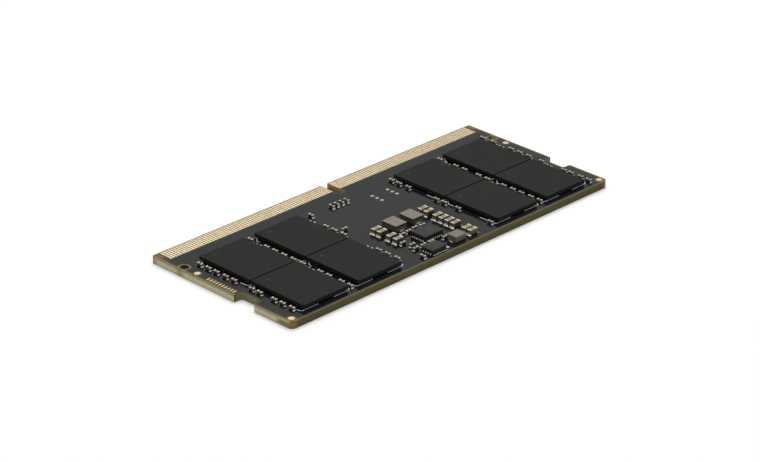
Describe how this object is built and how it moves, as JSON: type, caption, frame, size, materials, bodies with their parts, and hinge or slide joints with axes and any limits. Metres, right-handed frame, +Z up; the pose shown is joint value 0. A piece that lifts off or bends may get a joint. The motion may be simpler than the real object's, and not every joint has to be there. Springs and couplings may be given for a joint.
{
  "type": "memory module",
  "caption": "Small-outline memory module: a thin circuit board with packages on one side, edge contacts on both, an off-centre key notch and a latch notch in each end.",
  "frame": {"origin": "middle of the board's lower face", "axes": "+X along the contact edge, +Y away from the contacts to the far edge, +Z up out of the face that carries the packages"},
  "size_m": [0.0696, 0.03, 0.0022],
  "materials": {
    "laminate": "glass and epoxy laminate, routed edges",
    "solder_mask": "black solder mask, glossy",
    "gold": "gold plated copper",
    "print": "white printed ink",
    "mould": "black moulding compound, fine matt",
    "substrate": "package substrate, dark",
    "solder": "tin solder, shiny",
    "tin": "tin plate, satin",
    "inductor": "pressed iron powder, grey-brown, matt",
    "capacitor": "tan fired ceramic",
    "resistor": "dark grey-brown ceramic",
    "glaze": "dark glaze"
  },
  "bodies": {
    "root": {"circuit_board": "laminate", "solder_mask_front": "solder_mask", "solder_mask_back": "solder_mask", "front_contacts_long": "gold", "front_contacts_short": "gold", "back_contacts_long": "gold", "back_contacts_short": "gold", "alignment_discs": "gold", "test_pads": "gold", "spare_pads": "solder", "edge_bars": "gold", "printed_brackets": "print", "dram_package_1": "mould", "dram_package_2": "mould", "dram_package_3": "mould", "dram_package_4": "mould", "dram_package_5": "mould", "dram_package_6": "mould", "dram_package_7": "mould", "dram_package_8": "mould", "package_substrates": "substrate", "solder_balls": "solder", "power_controller": "mould", "power_controller_pads": "solder", "hub_chip": "mould", "hub_chip_pads": "solder", "power_inductor_1": "inductor", "power_inductor_2": "inductor", "power_inductor_3": "inductor", "inductor_terminals": "tin", "large_capacitor_bodies": "capacitor", "large_capacitor_terminals": "tin", "small_capacitor_bodies": "capacitor", "small_capacitor_terminals": "tin", "resistor_bodies": "resistor", "resistor_coats": "glaze", "resistor_terminals": "tin", "solder_fillets": "solder"}
  },
  "joints": []
}
